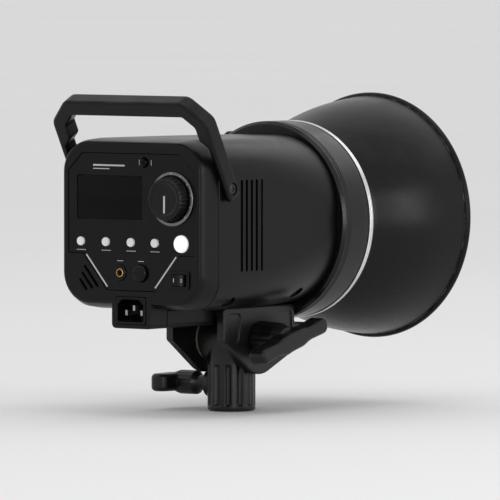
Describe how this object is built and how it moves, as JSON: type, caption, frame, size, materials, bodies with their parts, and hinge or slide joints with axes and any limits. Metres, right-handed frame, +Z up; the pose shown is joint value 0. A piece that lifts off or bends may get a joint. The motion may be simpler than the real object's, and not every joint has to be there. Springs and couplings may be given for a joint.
{
  "type": "monolight strobe",
  "caption": "Studio flash head with a tilting stand bracket, carrying handle, rear control panel and a bayonet-mounted bowl reflector.",
  "frame": {"origin": "centre of the stand socket mouth, at the bottom of the receiver", "axes": "-Y is the way the light leaves, +Y is the control-panel side, +Z is up along the stand, X is across, with the umbrella tube at +X"},
  "size_m": [0.1826, 0.2987, 0.2318],
  "materials": {
    "moulded_black": "satin moulded, near black",
    "smooth_black": "smooth black",
    "painted_black": "satin black paint",
    "cast_black": "powder-coated casting",
    "grey_caps": "light grey",
    "lit_white": "white, lit",
    "silver": "fine turned",
    "steel": "zinc plated",
    "brass": "plain",
    "clear_glass": "clear",
    "dark_glass": "dark smoked",
    "ceramic": "glazed ceramic",
    "board": "green circuit board",
    "sleeve": "blue film sleeve",
    "fibre": "grey fibre"
  },
  "bodies": {
    "stand": {"stand_receiver": "cast_black"},
    "head": {"tilt_base": "cast_black", "base_screw_front": "steel", "base_screw_rear": "steel", "tilt_pivot_bolt": "steel", "friction_washer_left": "fibre", "friction_washer_right": "fibre", "main_housing": "moulded_black", "side_screw_front_left": "steel", "side_screw_front_right": "steel", "side_screw_rear_left": "steel", "side_screw_rear_right": "steel", "rear_cover": "moulded_black", "control_panel": "smooth_black", "lcd_window": "dark_glass", "lcd_module": "board", "dial_ring": "fibre", "dial_encoder": "fibre", "control_board": "board", "sync_socket": "smooth_black", "fuse_holder": "smooth_black", "slave_sensor_dome": "dark_glass", "power_switch_frame": "smooth_black", "mains_inlet": "smooth_black", "inlet_channel": "moulded_black", "handle": "moulded_black", "handle_screw_left": "steel", "handle_screw_right": "steel", "front_collar": "moulded_black", "mount_ring": "silver", "front_plate": "silver", "lamp_socket": "ceramic", "modelling_lamp": "clear_glass", "flash_tube": "clear_glass", "tube_socket_left": "ceramic", "tube_socket_right": "ceramic", "chassis_tray": "silver", "flash_capacitor_left": "sleeve", "flash_capacitor_right": "sleeve", "power_board": "board", "transformer": "steel", "fan_frame": "moulded_black"},
    "spigot_clamp_shoe": {"spigot_clamp_shoe": "brass"},
    "stand_lock_knob": {"stand_lock_knob": "cast_black"},
    "tilt_lock_handle": {"tilt_lock_handle": "cast_black"},
    "umbrella_lock_screw": {"umbrella_lock_screw": "smooth_black"},
    "dial_shaft": {"dial_shaft": "steel"},
    "control_dial": {"control_dial": "smooth_black"},
    "function_button_1": {"function_button_1": "grey_caps"},
    "function_button_2": {"function_button_2": "grey_caps"},
    "function_button_3": {"function_button_3": "grey_caps"},
    "function_button_4": {"function_button_4": "grey_caps"},
    "test_button": {"test_button": "lit_white"},
    "power_switch_rocker": {"power_switch_rocker": "smooth_black"},
    "fuse_cap": {"fuse_cap": "smooth_black"},
    "fan_rotor": {"fan_rotor": "smooth_black"},
    "release_latch": {"release_latch": "smooth_black"},
    "reflector": {"reflector": "painted_black", "reflector_bayonet_ring": "silver"}
  },
  "joints": [
    {"name": "head_tilt", "type": "hinge", "parent": "stand", "child": "head", "pos_m": [0, 0, 0.052], "axis": [1, 0, 0], "range_deg": [-55, 40]},
    {"name": "tilt_lock", "type": "hinge", "parent": "head", "child": "tilt_lock_handle", "pos_m": [0, 0, 0.052], "axis": [1, 0, 0], "range_deg": [-8, 40]},
    {"name": "stand_lock", "type": "hinge", "parent": "stand", "child": "stand_lock_knob", "pos_m": [0, 0, 0.019], "axis": [-1, 0, 0], "range_deg": [0, 540]},
    {"name": "clamp_shoe_slide", "type": "slide", "parent": "stand", "child": "spigot_clamp_shoe", "axis": [-1, 0, 0], "range_m": [0, 0.0023]},
    {"name": "umbrella_lock", "type": "hinge", "parent": "head", "child": "umbrella_lock_screw", "pos_m": [0, -0.048, 0.0565], "axis": [-1, 0, 0], "range_deg": [-720, 0]},
    {"name": "dial_press", "type": "slide", "parent": "head", "child": "dial_shaft", "axis": [0, -1, 0], "range_m": [0, 0.0006], "stiffness_N_per_m": 1500, "springref_m": -0.0008},
    {"name": "dial_turn", "type": "hinge", "parent": "dial_shaft", "child": "control_dial", "pos_m": [-0.038, 0.1165, 0.158], "axis": [0, -1, 0], "continuous": true},
    {"name": "button_1_press", "type": "slide", "parent": "head", "child": "function_button_1", "axis": [0, -1, 0], "range_m": [0, 0.0008], "stiffness_N_per_m": 800, "springref_m": -0.001},
    {"name": "button_2_press", "type": "slide", "parent": "head", "child": "function_button_2", "axis": [0, -1, 0], "range_m": [0, 0.0008], "stiffness_N_per_m": 800, "springref_m": -0.001},
    {"name": "button_3_press", "type": "slide", "parent": "head", "child": "function_button_3", "axis": [0, -1, 0], "range_m": [0, 0.0008], "stiffness_N_per_m": 800, "springref_m": -0.001},
    {"name": "button_4_press", "type": "slide", "parent": "head", "child": "function_button_4", "axis": [0, -1, 0], "range_m": [0, 0.0008], "stiffness_N_per_m": 800, "springref_m": -0.001},
    {"name": "test_button_press", "type": "slide", "parent": "head", "child": "test_button", "axis": [0, -1, 0], "range_m": [0, 0.0008], "stiffness_N_per_m": 800, "springref_m": -0.001},
    {"name": "power_rocker", "type": "hinge", "parent": "head", "child": "power_switch_rocker", "pos_m": [-0.045, 0.1173, 0.1], "axis": [0, 0, 1], "range_deg": [0, 16]},
    {"name": "fuse_cap_turn", "type": "hinge", "parent": "head", "child": "fuse_cap", "pos_m": [-0.009, 0.1165, 0.104], "axis": [0, 1, 0], "range_deg": [0, 60]},
    {"name": "fan_spin", "type": "hinge", "parent": "head", "child": "fan_rotor", "pos_m": [0, -0.016, 0.137], "axis": [0, -1, 0], "continuous": true},
    {"name": "reflector_twist", "type": "hinge", "parent": "head", "child": "reflector", "pos_m": [0, -0.0756, 0.137], "axis": [0, -1, 0], "range_deg": [0, 30]},
    {"name": "latch_slide", "type": "slide", "parent": "head", "child": "release_latch", "axis": [0, 1, 0], "range_m": [0, 0.006]}
  ],
  "couplings": [
    {"joint": "clamp_shoe_slide", "follows": "stand_lock", "m_per_rad": 0.00023873},
    {"joint": "latch_slide", "follows": "reflector_twist", "m_per_rad": 0.01145}
  ]
}
